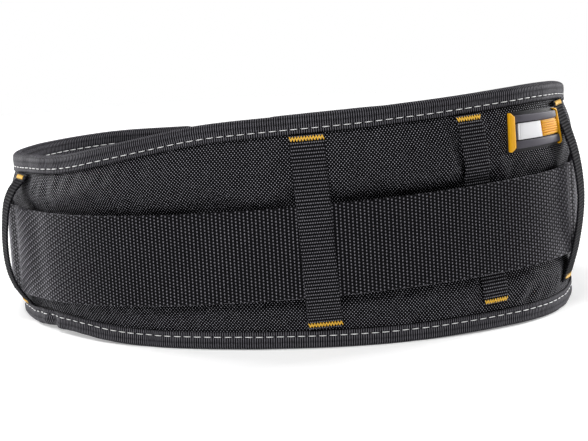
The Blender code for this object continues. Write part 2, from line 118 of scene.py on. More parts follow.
bpy.context.scene.view_settings.view_transform = "Standard"

tent = bpy.data.worlds.new("white_tent")
tent.use_nodes = True
tent_seen = add_node(tent.node_tree, "LightPath", {}).outputs["Is Camera Ray"]
tent_level = ranged(tent.node_tree, tent_seen, TENT_LIGHT, TENT_SEEN)
tent_light = tent.node_tree.nodes["Background"]
set_inputs(tent.node_tree, tent_light, {"Color": WHITE, "Strength": tent_level})
bpy.context.scene.world = tent

sweep_shape = bmesh.new()
bmesh.ops.create_circle(sweep_shape, cap_ends=True, segments=96, radius=FLOOR_RADIUS)
sweep_mesh = bpy.data.meshes.new("floor")
sweep_shape.to_mesh(sweep_mesh)
sweep_shape.free()
floor = bpy.data.objects.new("floor", sweep_mesh)
bpy.context.scene.collection.objects.link(floor)
white_paper = bpy.data.materials.new("white_paper")
white_paper.use_nodes = True
set_inputs(white_paper.node_tree, white_paper.node_tree.nodes["Principled BSDF"], {
    "Base Color": (0.93, 0.93, 0.93, 1.0), "Roughness": 0.9,
    "Emission Color": WHITE, "Emission Strength": FLOOR_GLOW,
})
sweep_mesh.materials.append(white_paper)

for name, place, width, height, power in SOFT_BOXES:
    light = bpy.data.lights.new(name, "AREA")
    light.shape = "RECTANGLE"
    light.size = width
    light.size_y = height
    light.energy = power
    lamp = bpy.data.objects.new(name, light)
    bpy.context.scene.collection.objects.link(lamp)
    aim = LIT_PLACE - Vector(place)
    lamp.rotation_euler = aim.to_track_quat("-Z", "Y").to_euler()
    lamp.location = place


# Waist pad
# Foam between a coarse basket-woven cover and a smooth lining. It is pinched flat under the tape
# round its edge, swells above and below the web, and keeps the dents of all that is sewn to it.

MM = 0.001

PLAN = (
    # the web's middle line from above, from the left end round the tall back, in mm
    (-215.3, 12), (-205.5, -28), (-185, -66), (-151, -100), (-97, -128), (-33, -143), (35, -146),
    (95, -136), (147, -115), (185, -87.4), (204.4, -54.5), (212.3, -10), (201.6, 46), (161.5, 91),
    (95, 116), (0, 124), (-95, 117), (-163, 93), (-204, 53),
)
LUMBAR_PLACE = (75, -141)
SIDE_LEAN = 0.03
LEAN_PIVOT = 45 * MM
EDGE = (
    # along, height of the top edge, height of the bottom edge
    (-572, 94.3, -18), (-535, 96.2, -18.5), (-500, 98.4, -19), (-390, 99.5, -20.5),
    (-345, 101, -22.5), (-326, 102.5, -23.9), (-310, 103.7, -23.4), (-302, 104.1, -22.8),
    (-290, 104.6, -22.5), (-278, 105.2, -23.2), (-266, 105.8, -23.9), (-252, 107.6, -24.8),
    (-236, 110.5, -27.1), (-213, 114.5, -30.1), (-180, 120, -32.5), (-149, 125, -34),
    (-119, 127, -35.5), (-77, 127.8, -37.6), (-37, 128, -39.5), (6, 128.6, -41.3),
    (104, 129.2, -42.5), (125, 128.4, -43), (140, 127.3, -43), (170, 124, -43), (215, 115.5, -35),
    (255, 109, -29), (310, 102.5, -24.5), (360, 98.5, -21.5), (521, 95.5, -18),
)
PAD_LEFT_END = -572 * MM
PAD_RIGHT_END = 521 * MM
CORNER_RADIUS = 18 * MM
EDGE_EASING = 14 * MM
PAD_MIDDLE = -10.5 * MM
TAPE_DEPTH = 13 * MM
WEB_WIDTH = 65 * MM
BADGE_SEAT = -3.75 * MM
PUCKER_PITCH = 15.2 * MM

HOLLOWS = (
    # along, half width, out, from height, to height
    (56, 10, -1.8, 62, 104), (74, 7, -1.6, 64, 110), (-64, 15, -1.5, 68, 113),
    (5, 62, -1.6, -2, 74), (4, 48, -2.4, 63, 71), (-150, 80, -0.9, 63, 70), (-210, 70, -0.6, 0, 70),
    (10, 26, 0.8, 76, 110), (-130, 34, 0.7, 78, 108), (-245, 30, 0.7, 74, 96),
    (-36, 8, 0.7, 72, 108), (-95, 9, 0.6, 72, 108), (62, 12, -0.9, -22, -8),
    (-58, 14, -0.9, -24, -8),
)
CREASES = (
    # along and height of each end, half width, out
    (-4, -30, 18, -8, 3.2, 1.5), (5, -31, 28, -9, 3.2, -1.3), (34, -28, 46, -10, 3.5, 1.2),
    (-22, -30, -8, -12, 3.6, -1.0), (-112, -24, -96, -8, 4.0, 1.1), (-44, -27, -30, -6, 3.6, 1.0),
    (88, -28, 104, -10, 3.8, 1.2), (98, -30, 116, -12, 3.4, -1.0), (41.5, 111, 55, 62, 3.6, -3.4),
    (50, 84, 56, 64, 4.0, -1.4), (31, 106, 42, 72, 5.5, 1.0), (-20, 72, 8, 84, 5.5, 0.5),
    (-88, 70, -110, 82, 5.0, -0.4), (20, 74, 38, 98, 4.5, -0.5), (-180, 70, -150, 80, 5.0, -0.45),
    (110, 70, 132, 77, 4.0, 0.5), (-290, 68, -262, 78, 4.5, -0.4), (-272, 66, -284, 92, 3.2, -1.0),
    (-262, 68, -270, 96, 3.6, 0.8), (-246, 66, -240, 84, 3.4, -0.7), (-206, 66, -196, 82, 5.0, 0.6),
    (-140, 66, -126, 80, 5.5, -0.7), (-82, 104, -110, 92, 5.0, -0.5), (84, 66, 78, 84, 3.4, 0.7),
    (90, 66, 96, 78, 3.4, -0.8), (128, 68, 150, 72, 3.6, 0.6), (32, 66, 40, 84, 3.2, 0.8),
    (52, -26, 60, -8, 3.4, -0.8), (146, -34, 168, -22, 4.0, -0.6), (-88, -26, -70, -12, 4.0, -0.5),
    (124, -32, 140, -14, 3.6, 1.1), (-136, -26, -122, -10, 3.4, -0.9),
    (-186, -22, -170, -8, 3.6, 0.9), (-240, -20, -228, -6, 3.4, 0.9),
    (-160, -22, -140, -6, 4.0, 0.4), (-300, -14, -286, -2, 3.5, 0.4),
)
SEWN_PLACES = (
    # along, height, reach, depth where a strap's end is tacked through the pad
    (-64, 111, 9, 1.0), (-58, -21, 9, 1.0), (55, 112, 8, 1.0), (71, -21, 8, 1.0),
    (156, 108, 8, 0.8), (156, -20, 8, 0.8), (-317, 85, 8, 0.8), (-325, -7, 8, 0.8),
)


def waist_curve():
    """The web's middle line from above: a smooth closed cubic, with the distance along it."""
    knots = np.array(PLAN, float)
    count = len(knots)
    following = np.roll(np.arange(count), -1)
    chord = np.linalg.norm(knots[following] - knots, axis=1)
    before = np.roll(chord, 1)
    system = np.diag(2 * (before + chord))
    system[np.arange(count), following] = chord
    system[following, np.arange(count)] = chord
    slope = (knots[following] - knots) / chord[:, None]
    bend = np.linalg.solve(system, 6 * (slope - np.roll(slope, 1, axis=0)))
    u = np.linspace(0, 1, 48, endpoint=False)[:, None]
    left = 1 - u
    parts = []
    for i, k in enumerate(following):
        sag = (left ** 3 - left) * bend[i] + (u ** 3 - u) * bend[k]
        parts.append(knots[i] * left + knots[k] * u + sag * chord[i] ** 2 / 6)
    line = np.vstack(parts) * MM
    start = np.argmin(np.linalg.norm(line - np.array(LUMBAR_PLACE) * MM, axis=1))
    line = np.roll(line, -start, axis=0)
    way = np.roll(line, -1, axis=0) - np.roll(line, 1, axis=0)
    way /= np.linalg.norm(way, axis=1)[:, None]
    steps = np.linalg.norm(np.roll(line, -1, axis=0) - line, axis=1)
    distance = np.concatenate(([0.0], np.cumsum(steps)))
    return distance, np.vstack((line, line[:1])), np.vstack((way, way[:1]))


WAIST_AT, WAIST_LINE, WAIST_WAY = waist_curve()
WAIST_LENGTH = float(WAIST_AT[-1])


def soft_step(value, low, high):
    """0 below low, 1 above high, and a soft S between them."""
    u = np.clip((np.asarray(value, float) - low) / (high - low), 0.0, 1.0)
    return u * u * (3 - 2 * u)


def soft_band(value, low, full, fade, high):
    """0 outside low to high and 1 from full to fade, all four in mm."""
    return soft_step(value, low * MM, full * MM) * (1 - soft_step(value, fade * MM, high * MM))


def bell(value, place, half_width):
    """1 at place, falling off softly on both sides, place and half width in mm."""
    return np.exp(-((value - place * MM) / (half_width * MM)) ** 2)


def swells(table, at):
    """The soft swells of a table along a way, each with its place, half width and way out."""
    return sum(out * MM * bell(at, place, half_width) for place, half_width, out in table)


RIM_WAVES = (
    # along, half width, out along the top edge, out along the bottom edge
    (-322, 5, 0.9, 0.0), (-309, 4, -1.0, 0.9), (-289, 5.5, 0.6, -2.8), (-277, 3.5, -0.4, 1.5),
    (-262, 6, -0.9, -0.6), (-236, 7, 0.5, 0.6), (-190, 9, -0.5, -0.5), (-110, 10, 0.4, 0.5),
    (10, 9, -0.4, -0.5), (96, 8, 0.5, 0.5), (150, 6, -0.6, -0.6), (186, 7, 0.6, 0.8),
    (330, 12, -0.6, 0.7), (430, 9, 0.6, -0.6), (-420, 12, 0.7, -0.7), (-500, 9, -0.6, 0.6),
)


def rim_wave(along, height):
    """How far the pad's rim waves out of its plane, above and below the web."""
    top = soft_step(height, 88 * MM, 98 * MM)
    bottom = 1 - soft_step(height, -20 * MM, -9 * MM)
    total = 0.0
    for place, half_width, above, below in RIM_WAVES:
        total = total + bell(along, place, half_width) * (above * top + below * bottom) * MM
    return total


def waist_way(along):
    """Which way the web runs at a place, seen from above."""
    spot = np.mod(along, WAIST_LENGTH)
    return np.interp(spot, WAIST_AT, WAIST_WAY[:, 0]), np.interp(spot, WAIST_AT, WAIST_WAY[:, 1])


def on_belt(along, out, height):
    """Points of the standing belt from distances along the web, out from it and up."""
    along, out, height = np.broadcast_arrays(*(np.asarray(v, float) for v in (along, out, height)))
    out = out + rim_wave(along, height)
    spot = np.mod(along, WAIST_LENGTH)
    x = np.interp(spot, WAIST_AT, WAIST_LINE[:, 0])
    y = np.interp(spot, WAIST_AT, WAIST_LINE[:, 1])
    way_x, way_y = waist_way(along)
    size = np.hypot(way_x, way_y)
    x = x + out * way_y / size + SIDE_LEAN * (height - LEAN_PIVOT)
    y = y - out * way_x / size
    flat = np.stack((x, y, height, np.ones_like(x)), axis=-1)
    return (flat @ np.array(stand).T)[..., :3]


def edge_height(along, column):
    """Height of the pad's top edge (column 1) or bottom edge (column 2)."""
    table = np.array(EDGE, float) * MM
    total = 0.0
    for reach in np.linspace(-EDGE_EASING, EDGE_EASING, 7):
        total = total + np.interp(np.asarray(along) + reach, table[:, 0], table[:, column])
    return total / 7


def end_overrun(along, inset):
    """How far a place lies past the start of the pad's rounded corners."""
    left = (PAD_LEFT_END + CORNER_RADIUS) - along
    right = along - (PAD_RIGHT_END - CORNER_RADIUS)
    return np.clip(np.maximum(left, right), 0.0, CORNER_RADIUS - inset)


def distance_inside(along, height):
    """Distance from a place on the pad to the pad's outline."""
    top = edge_height(along, 1)
    bottom = edge_height(along, 2)
    middle = (PAD_RIGHT_END + PAD_LEFT_END) / 2
    over_end = np.abs(along - middle) - ((PAD_RIGHT_END - PAD_LEFT_END) / 2 - CORNER_RADIUS)
    over_edge = np.abs(height - (top + bottom) / 2) - ((top - bottom) / 2 - CORNER_RADIUS)
    corner = np.hypot(np.maximum(over_end, 0.0), np.maximum(over_edge, 0.0))
    return CORNER_RADIUS - corner - np.minimum(np.maximum(over_end, over_edge), 0.0)


def pad_relief(along, height):
    """Broad hollows and swellings of the outer face."""
    total = 0.0
    for place, half_width, out, low, high in HOLLOWS:
        upright = soft_band(height, low - 6, low + 6, high - 6, high + 6)
        total = total + out * MM * bell(along, place, half_width) * upright
    return total


def pad_folds(along, height):
    """Narrow folds and creases of the cover, and the dents where straps are tacked down."""
    total = 0.0
    for a, c, b, d, half_width, out in CREASES:
        run = np.array((b - a, d - c)) * MM
        share = ((along - a * MM) * run[0] + (height - c * MM) * run[1]) / (run @ run)
        inside = np.clip(share, 0.0, 1.0)
        away = np.hypot(along - a * MM - inside * run[0], height - c * MM - inside * run[1])
        fade = 0.35 + 0.65 * np.sin(math.pi * inside)
        total = total + out * MM * bell(away, 0.0, half_width) * fade
    for place, level, reach, depth in SEWN_PLACES:
        total = total - depth * MM * bell(np.hypot(along - place * MM, height - level * MM), 0.0, reach)
    return total * soft_step(distance_inside(along, height), TAPE_DEPTH - MM, TAPE_DEPTH + 6 * MM)


def pad_face(along, height):
    """Outer face of the pad: pinched at its edge, rolling in again above the web."""
    depth = distance_inside(along, height)
    rise = soft_step(depth, TAPE_DEPTH, TAPE_DEPTH + 17 * MM) ** 0.8
    above = soft_step(height, WEB_WIDTH + MM, WEB_WIDTH + 15 * MM)
    below = 1 - soft_step(height, -11 * MM, -MM)
    roll = soft_band(along, -290, -215, 66, 96) * soft_band(height, 67, 78, 81, 117)
    swell = (2.6 + 2.3 * above + 1.5 * below + 1.7 * roll) * MM
    pucker = 0.28 * MM * np.sin(2 * math.pi * along / PUCKER_PITCH) * bell(depth, 17, 5)
    slow = np.sin(along / (41 * MM) - height / (17 * MM) + 1.3)
    ripple = 0.22 * MM * (np.sin(along / (23 * MM) + 3.0 * height / (31 * MM)) + slow)
    out = PAD_MIDDLE + 3.0 * MM + rise * (swell + pad_relief(along, height) + ripple) + pucker
    seat = soft_band(along, 79, 87.5, 146.5, 155) * soft_band(height, 72, 81, 111, 116)
    return out + seat * (np.minimum(BADGE_SEAT, out) - out)


def pad_lining(along, height):
    """Inner face of the pad, evenly full with a faint slackness."""
    depth = distance_inside(along, height)
    rise = soft_step(depth, TAPE_DEPTH, TAPE_DEPTH + 17 * MM)
    slack = 0.35 * MM * np.sin(along / (37 * MM) + height / (26 * MM))
    slack = slack + 0.3 * MM * np.sin(along / (19 * MM) - height / (33 * MM))
    return PAD_MIDDLE - 3.0 * MM - rise * (3.9 * MM + slack)


def finish_form(name, shape):
    """Turns a bmesh into a smooth piece that rides on the belt."""
    mesh = bpy.data.meshes.new(name)
    shape.to_mesh(mesh)
    shape.free()
    for polygon in mesh.polygons:
        polygon.use_smooth = True
    piece = bpy.data.objects.new(name, mesh)
    bpy.context.scene.collection.objects.link(piece)
    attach(piece, "root")
    return piece


def laid_form(name, columns, rows, place, extent, wrap_along=False, gather=0.0):
    """A closed skin made from a grid: place turns its two 0-to-1 directions into points. The
    second direction runs round the section, with its rows gathered towards the two selvedges,
    and the weave map keeps extent in metres."""
    shape = bmesh.new()
    weave = shape.loops.layers.uv.new("weave")
    bmesh.ops.create_grid(shape, x_segments=columns, y_segments=rows, size=0.5)
    share = np.array([vert.co[:2] for vert in shape.verts]) + 0.5
    share[:, 1] -= gather * np.sin(4 * math.pi * share[:, 1]) / (4 * math.pi)
    points = place(share[:, 0], share[:, 1])
    shape.verts.index_update()
    for face in shape.faces:
        for loop in face.loops:
            spot = share[loop.vert.index]
            loop[weave].uv = (spot[0] * extent[0], spot[1] * extent[1])
    for vert, point in zip(shape.verts, points):
        vert.co = point
    bmesh.ops.remove_doubles(shape, verts=shape.verts[:], dist=1e-6)
    if not wrap_along:
        rims = [edge for edge in shape.edges if edge.is_boundary]
        bmesh.ops.holes_fill(shape, edges=rims, sides=0)
    bmesh.ops.recalc_face_normals(shape, faces=shape.faces[:])
    return finish_form(name, shape)


def pad_place(u, v):
    """Where a place of the cover's grid lies: along, height, and 1 on the outer face."""
    inset = 1.6 * MM
    along = PAD_LEFT_END + inset + u * (PAD_RIGHT_END - PAD_LEFT_END - 2 * inset)
    radius = CORNER_RADIUS - inset
    fall = radius - np.sqrt(np.maximum(radius ** 2 - end_overrun(along, inset) ** 2, 0.0))
    low = edge_height(along, 2) + inset + fall
    high = edge_height(along, 1) - inset - fall
    turn = np.mod(v, 1.0) * 2
    rising = turn < 1
    share = np.where(rising, turn, 2 - turn)
    share = np.clip((share - 0.01) / 0.98, 0.0, 1.0)
    return along, low + share * (high - low), rising.astype(float)


def pad_section(u, v):
    """Up the outer face, over the rim, down the lining and back."""
    along, height, outside = pad_place(u, v)
    out = np.where(outside > 0, pad_face(along, height), pad_lining(along, height))
    return on_belt(along, out, height)


def finish_group(name, values, colours, results):
    """An empty node group: a place, plain values and colours go in, and its results, named as
    the shader's own inputs are, come out."""
    group = bpy.data.node_groups.new(name, "ShaderNodeTree")
    sockets = [("Place", "INPUT", "Vector")]
    sockets += [(label, "INPUT", "Float") for label in values]
    sockets += [(label, "INPUT", "Color") for label in colours]
    kinds = {"Base Color": "Color", "Roughness": "Float", "Normal": "Vector"}
    sockets += [(label, "OUTPUT", kinds[label]) for label in results]
    for label, way, kind in sockets:
        group.interface.new_socket(label, in_out=way, socket_type="NodeSocket" + kind)
    return group, group.nodes.new("NodeGroupInput").outputs, group.nodes.new("NodeGroupOutput")


def noise(tree, place, scale, detail):
    """Soft noise over a place."""
    return add_node(tree, "TexNoise", {"Vector": place, "Scale": scale, "Detail": detail}).outputs[0]


def mixed(tree, share, first, second, **settings):
    """A colour that goes from the first to the second with the share."""
    inputs = {0: share, 6: first, 7: second}
    return add_node(tree, "Mix", inputs, data_type="RGBA", **settings).outputs[2]


def relief(tree, height, strength, distance):
    """The surface's direction under a fine relief."""
    inputs = {"Height": height, "Strength": strength, "Distance": distance}
    return add_node(tree, "Bump", inputs).outputs[0]


def weave_group():
    """Interlaced threads from a weave map in metres: dark gaps; smoother crown tops, paler by a
    painted glint and as uneven as spun yarn; and a broad mottling of wear."""
    group, given, result = finish_group(
        "interlaced_threads",
        ("Along", "Across", "Shift", "Domed", "Spine", "Narrow", "Relief", "Depth"),
        ("Gaps", "Crowns"), ("Base Color", "Roughness", "Normal"),
    )

    def maths(operation, *values):
        return add_node(group, "Math", dict(enumerate(values)), operation=operation).outputs[0]

    place = given["Place"]
    parts = add_node(group, "SeparateXYZ", {0: place}).outputs
    u = maths("MULTIPLY", parts[0], given["Along"])
    v = maths("MULTIPLY", parts[1], given["Across"])
    v = maths("ADD", v, maths("MULTIPLY", maths("FLOOR", u), given["Shift"]))
    wave_u = maths("SINE", maths("MULTIPLY", u, math.pi))
    wave_v = maths("SINE", maths("MULTIPLY", v, math.pi))
    crossing = maths("MULTIPLY", wave_u, wave_v)
    ridge_u = maths("ABSOLUTE", wave_u)
    ridge_v = maths("ABSOLUTE", wave_v)
    domes = maths("MULTIPLY", maths("MULTIPLY", ridge_u, ridge_v), 0.55)
    lifted = maths("ADD", maths("MULTIPLY", crossing, 0.45), domes)
    open_share = maths("SUBTRACT", 1.0, given["Spine"])
    beads = maths("ADD", given["Spine"], maths("MULTIPLY", ridge_v, open_share))
    ribs = maths("MULTIPLY", maths("POWER", ridge_u, 1.8), beads)
    bound = add_node(group, "Mix", {0: given["Domed"], 2: crossing, 3: ribs}).outputs[0]
    uneven = maths("MULTIPLY", maths("SUBTRACT", noise(group, place, 420.0, 3.0), 0.5), 0.3)
    glint_share = add_node(
        group, "MapRange",
        {"Value": maths("ADD", bound, uneven), "From Min": given["Narrow"], "From Max": 0.95},
        interpolation_type="SMOOTHSTEP",
    ).outputs[0]
    # Paler thread tops: a painted glint over the cloth's dark gaps.
    tone = mixed(group, glint_share, given["Gaps"], given["Crowns"])
    set_inputs(group, result, {
        "Base Color": mixed(group, 0.35, tone, noise(group, place, 28.0, 4.0), blend_type="MULTIPLY"),
        "Roughness": ranged(group, glint_share, 0.74, 0.50),
        "Normal": relief(group, maths("ADD", lifted, uneven), given["Relief"], given["Depth"]),
    })
    return group


def finished(name, group, inputs, plain, by_weave=False):
    """A material that gives a shared group its own values, and its shader plain ones."""
    finish = bpy.data.materials.new(name)
    finish.use_nodes = True
    tree = finish.node_tree
    if by_weave:
        place = add_node(tree, "UVMap", {}, uv_map="weave").outputs[0]
    else:
        place = add_node(tree, "TexCoord", {}).outputs["Object"]
    effect = add_node(tree, "Group", {"Place": place, **inputs}, node_tree=group)
    results = {result.name: result for result in effect.outputs}
    set_inputs(tree, tree.nodes["Principled BSDF"], {**plain, **results})
    return finish


threads = weave_group()
DARK_GAPS = (0.004, 0.0038, 0.005)


def woven(name, glint_crown, along, across, narrow, bump, depth=0.25, gaps=DARK_GAPS,
          shift=0.0, domed=0.0, spine=0.4, sheen=0.05, shine=0.07):
    """A woven finish, with threads of along by across and a relief of depth, in mm; the glint
    crown colour is a painted glint on the threads' tops.
    """
    return finished(
        name, threads,
        {
            "Along": 1.0 / (along * MM), "Across": 1.0 / (across * MM), "Shift": shift,
            "Domed": domed, "Spine": spine, "Narrow": narrow, "Relief": bump, "Depth": depth * MM,
            "Gaps": (*gaps, 1.0), "Crowns": (*glint_crown, 1.0),
        },
        {
            "Sheen Weight": sheen, "Sheen Roughness": 0.3, "Sheen Tint": (0.82, 0.80, 0.88, 1.0),
            "Specular IOR Level": shine,
        },
        by_weave=True,
    )


PAD_RUN = PAD_RIGHT_END - PAD_LEFT_END
PAD_ROUND = 0.300
STRAP_FOOT = -23
STRAP_RUN = 138
COVER_ROOM = 2.6 * MM
COVER_FRAMES = 14
COVER_CLOTH = {
    "quality": 6, "mass": 0.15, "tension_stiffness": 12.0, "compression_stiffness": 6.0,
    "shear_stiffness": 4.0, "bending_stiffness": 0.3, "shrink_min": -0.035,
    "use_pressure": True, "uniform_pressure_force": 3.0, "vertex_group_mass": "sewn_down",
}
HELD_DOWN = (
    # along at the top, along at the bottom, half width, from height, to height
    (-64, -58, 14.5, -60, 140), (55, 71, 12.5, -60, 140), (156, 156, 13, 72, 140),
    (156, 156, 13, -60, -10), (-317, -325, 12.5, 70, 140), (-317, -325, 12.5, -60, -2),
    (117, 117, 32, 77, 114),
)


def sewn_down(along, height, outside):
    """How firmly each place of the cover is held: 1 under tape, web, loops and badge."""
    held = 1 - soft_step(distance_inside(along, height), TAPE_DEPTH + MM, TAPE_DEPTH + 9 * MM)
    under_web = soft_band(height, -2, 3, 62, 67)
    held = np.maximum(held, outside * under_web)
    for top, bottom, half_width, low, high in HELD_DOWN:
        middle = (bottom + (top - bottom) * (height / MM - STRAP_FOOT) / STRAP_RUN) * MM
        beside = 1 - soft_step(np.abs(along - middle), half_width * MM, (half_width + 4) * MM)
        between = soft_band(height, low - 3, low, high, high + 3)
        held = np.maximum(held, outside * beside * between)
    return held


def cover_places(mesh):
    """Where each point of the cover lies on the pad, read back from its weave map."""
    share = np.zeros((len(mesh.vertices), 2))
    for loop, weave in zip(mesh.loops, mesh.uv_layers["weave"].data):
        share[loop.vertex_index] = weave.uv
    return pad_place(share[:, 0] / PAD_RUN, share[:, 1] / PAD_ROUND)


def let_cover_settle(piece):
    """Slackens the cover and blows it up by cloth simulation, so that it wrinkles between the
    places where it is held, then keeps each point near where it began."""
    mesh = piece.data
    group = piece.vertex_groups.new(name="sewn_down")
    for index, weight in enumerate(sewn_down(*cover_places(mesh))):
        group.add([index], float(weight), "REPLACE")
    before = np.zeros(len(mesh.vertices) * 3)
    mesh.vertices.foreach_get("co", before)
    cloth = piece.modifiers.new("cloth", "CLOTH")
    for name, value in COVER_CLOTH.items():
        setattr(cloth.settings, name, value)
    cloth.settings.effector_weights.gravity = 0.0
    cloth.collision_settings.use_collision = False
    for step in range(1, COVER_FRAMES + 1):
        bpy.context.scene.frame_set(step)
    settled = piece.evaluated_get(bpy.context.evaluated_depsgraph_get()).to_mesh()
    after = np.zeros(len(before))
    settled.vertices.foreach_get("co", after)
    piece.modifiers.remove(cloth)
    piece.vertex_groups.remove(group)
    bpy.context.scene.frame_set(1)
    moved = (after - before).reshape(-1, 3)
    far = np.linalg.norm(moved, axis=1)
    kept = COVER_ROOM * np.tanh(far / COVER_ROOM) / np.maximum(far, 1e-9)
    mesh.vertices.foreach_set("co", before + (moved * kept[:, None]).ravel())
    mesh.update()


def press_in_folds(piece):
    """Refines the settled cover once and presses its narrow folds into the outer face."""
    smoother = piece.modifiers.new("smooth", "SUBSURF")
    smoother.levels = 1
    smoother.render_levels = 1
    depsgraph = bpy.context.evaluated_depsgraph_get()
    finer = bpy.data.meshes.new_from_object(
        piece.evaluated_get(depsgraph), preserve_all_data_layers=True, depsgraph=depsgraph
    )
    piece.modifiers.remove(smoother)
    coarse = piece.data
    piece.data = finer
    bpy.data.meshes.remove(coarse)
    along, height, outside = cover_places(finer)
    outwards = (on_belt(along, MM, height) - on_belt(along, 0.0, height)) / MM
    placed = np.zeros(len(along) * 3)
    finer.vertices.foreach_get("co", placed)
    pressed = placed.reshape(-1, 3) + outwards * (outside * pad_folds(along, height))[:, None]
    finer.vertices.foreach_set("co", pressed.ravel())
    finer.update()


pad = laid_form("padded_waist_pad", 220, 84, pad_section, (PAD_RUN, PAD_ROUND))
let_cover_settle(pad)
press_in_folds(pad)
pad.data.materials.append(
    woven("basket_woven_nylon", (0.66, 0.65, 0.72), 1.2, 1.2, narrow=0.62, bump=0.8, sheen=0.02)
)
# A plainer lining cloth, made far darker than the cover as painted shade for the inside of the ring.
pad.data.materials.append(woven("smooth_lining_painted_shade", (0.09, 0.088, 0.10), 0.9, 0.9, narrow=0.2, bump=0.4))
for polygon in pad.data.polygons:
    first_corner = pad.data.uv_layers["weave"].data[polygon.loop_start]
    polygon.material_index = int(first_corner.uv[1] > PAD_ROUND / 2)
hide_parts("pad")


# Edge tape
# A ribbed tape folded over the pad's whole rim and sewn through, so that it lies in shallow
# scallops between the stitches and stands up a little at its two selvedges.

TAPE_HALF = 4.5 * MM
TAPE_WALL = 1.2 * MM
STITCH_DEPTH = 9.5 * MM
STITCH_PITCH = 7.6 * MM
TAPE_ROUND = 42 * MM


def rim_path():
    """The pad's outline once round as (along, height) places, and the distance to each."""
    corners = np.linspace(0, math.pi / 2, 9)
    left = PAD_LEFT_END + CORNER_RADIUS
    right = PAD_RIGHT_END - CORNER_RADIUS
    run = np.linspace(left, right, 400)
    fall = CORNER_RADIUS * (1 - np.cos(corners))
    reach = CORNER_RADIUS * np.sin(corners)
    path = np.hstack((
        (run, edge_height(run, 1)),
        (right + reach, edge_height(right, 1) - fall),
        (right + reach[::-1], edge_height(right, 2) + fall[::-1]),
        (run[::-1], edge_height(run, 2)[::-1]),
        (left - reach, edge_height(left, 2) + fall),
        (left - reach[::-1], edge_height(left, 1) - fall[::-1]),
    )).T
    steps = np.linalg.norm(np.diff(path, axis=0), axis=1)
    fresh = steps > 1e-7
    distance = np.concatenate(([0.0], np.cumsum(steps[fresh])))
    return distance, path[np.concatenate(([True], fresh))]


RIM_AT, RIM_PATH = rim_path()
RIM_LENGTH = float(RIM_AT[-1])


def on_rim(distance, depth, out):
    """Points of the belt from the distance round the rim, inwards from it, and out."""
    def spot(at):
        at = np.mod(at, RIM_LENGTH)
        return np.interp(at, RIM_AT, RIM_PATH[:, 0]), np.interp(at, RIM_AT, RIM_PATH[:, 1])

    along, height = spot(distance)
    ahead = spot(distance + 2 * MM)
    behind = spot(distance - 2 * MM)
    way_x = ahead[0] - behind[0]
    way_y = ahead[1] - behind[1]
    size = np.hypot(way_x, way_y)
    return on_belt(along + depth * way_y / size, PAD_MIDDLE + out, height - depth * way_x / size)


TAPE_DENTS = (
    # distance round the rim, half width, out
    (1985, 4.0, -1.2), (1996, 5.0, 0.9), (2007, 3.6, -1.0), (2020, 5.0, 0.6), (1940, 5.0, -0.7),
    (1890, 6.0, -0.5), (1700, 5.0, -0.6), (1560, 6.0, -0.5), (1480, 5.0, -0.6), (300, 6.0, -0.5),
    (420, 7.0, -0.5), (700, 6.0, -0.6),
)


def tape_half(depth, distance):
    """Half thickness of the taped rim: a round nose, drawn in along the stitches."""
    nose = TAPE_HALF * (1 - np.clip(1 - depth / (4.2 * MM), 0, 1) ** 2.6) ** 0.5
    pull = bell(depth, STITCH_DEPTH / MM, 1.6)
    scallop = 0.5 + 0.5 * np.cos(2 * math.pi * distance / STITCH_PITCH)
    slack = 0.2 * MM * np.sin(distance / (21 * MM)) + 0.16 * MM * np.sin(distance / (6.5 * MM) + 1.0)
    slack = slack + swells(TAPE_DENTS, distance)
    return nose - pull * (0.28 + 0.22 * scallop) * MM + slack * soft_step(depth, 1 * MM, 4 * MM)


TAPE_FOLD = np.array((
    # depth in mm, 1 outside or 0 inside of the wall, side
    (13.0, 1, 1), (11.6, 1, 1), (10.0, 1, 1), (8.2, 1, 1), (6.0, 1, 1), (4.2, 1, 1), (2.4, 1, 1),
    (1.1, 1, 1), (0.3, 1, 1), (0.0, 1, 0), (0.3, 1, -1), (1.1, 1, -1), (2.4, 1, -1), (4.2, 1, -1),
    (6.0, 1, -1), (8.2, 1, -1), (10.0, 1, -1), (11.6, 1, -1), (13.0, 1, -1), (13.0, 0, -1),
    (10.0, 0, -1), (6.0, 0, -1), (1.4, 0, -1), (1.4, 0, 1), (6.0, 0, 1), (10.0, 0, 1), (13.0, 0, 1),
    (13.0, 1, 1),
))


def tape_section(u, v):
    """Round the folded tape's section at each place of the rim."""
    step = np.rint(v * (len(TAPE_FOLD) - 1)).astype(int)
    depth = TAPE_FOLD[step, 0] * MM
    outside = TAPE_FOLD[step, 1] > 0
    side = TAPE_FOLD[step, 2]
    distance = u * RIM_LENGTH
    wall = np.where(outside, 0.0, TAPE_WALL)
    out = side * (tape_half(depth, distance) - wall)
    return on_rim(distance, depth, out)


def press_on_floor(piece):
    """Flattens the few threads that would lie below the floor."""
    for vertex in piece.data.vertices:
        vertex.co.z = max(vertex.co.z, 0.0)


tape = laid_form(
    "folded_edge_tape", 660, len(TAPE_FOLD) - 1, tape_section, (RIM_LENGTH, TAPE_ROUND), wrap_along=True
)
press_on_floor(tape)
tape.data.materials.append(
    woven("ribbed_tape", (0.19, 0.184, 0.208), 1.7, 3.4, narrow=0.55, bump=0.8, depth=0.3,
          gaps=(0.005, 0.0048, 0.006), domed=1.0, spine=0.8)
)
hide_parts("edge_binding")


# Lockstitch
# One row of pale thread round the tape, through the whole pad. Each stitch is a short
# lens-shaped strand that dips into the tape at both ends.

STITCH_SIZE = (5.2 * MM, 0.62 * MM, 0.6 * MM)
STITCH_RISE = 0.26 * MM


def round_edges(shape, edges, rounding, segments):
    """Rounds the given edges of a shape."""
    bmesh.ops.bevel(
        shape, geom=edges, offset=rounding, offset_type="OFFSET", segments=segments,
        affect="EDGES", profile=0.5, material=-1
    )


